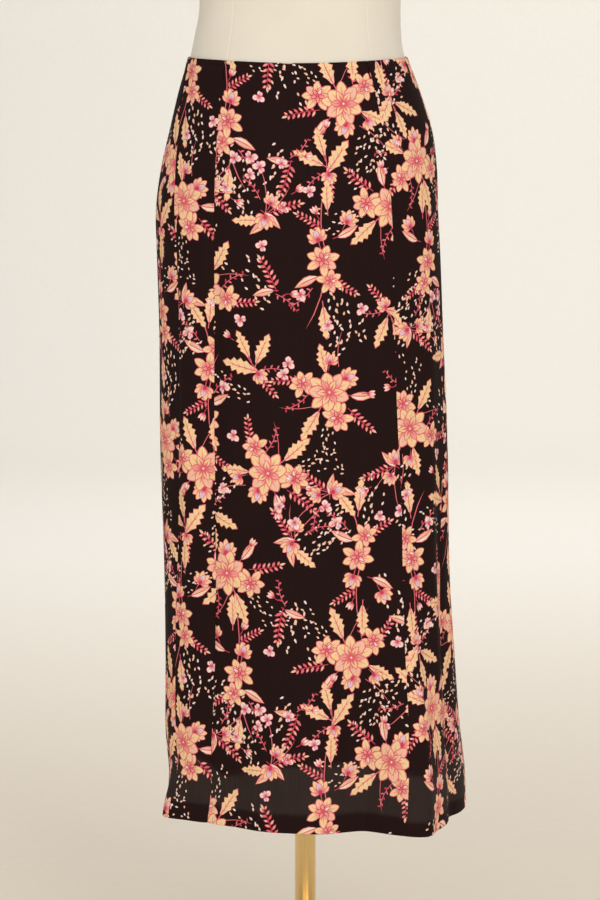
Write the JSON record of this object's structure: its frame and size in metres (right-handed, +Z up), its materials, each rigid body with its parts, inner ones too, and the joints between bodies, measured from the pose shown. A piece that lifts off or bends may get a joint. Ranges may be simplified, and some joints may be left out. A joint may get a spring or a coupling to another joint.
{
  "type": "long panelled skirt on a limbless dress form with a brass pole and round base",
  "caption": "Long straight skirt of sewn panels with a drawn-in casing, turned hem and hung lining, worn by a limbless dress form on a brass pole and round base.",
  "frame": {"origin": "centre of the round base's underside, on the floor, with the pole on the Z axis", "axes": "+Z up, the skirt's front looks along -Y, +X is to the viewer's right"},
  "size_m": [0.42, 0.42, 1.66],
  "materials": {
    "printed_cloth": "light woven viscose, near-black brown, printed all over with peach, pink and yellow blossoms and leaves",
    "lining_cloth": "plain thin black lining",
    "form_cover": "smooth cream cover, matt",
    "brass": "brushed brass"
  },
  "bodies": {
    "root": {"skirt_front_centre": "printed_cloth", "skirt_front_left": "printed_cloth", "skirt_front_right": "printed_cloth", "skirt_back_left": "printed_cloth", "skirt_back_centre": "printed_cloth", "skirt_back_right": "printed_cloth", "lining_front": "lining_cloth", "lining_back": "lining_cloth", "form_torso": "form_cover", "stand_pole": "brass", "stand_base": "brass"}
  },
  "joints": []
}
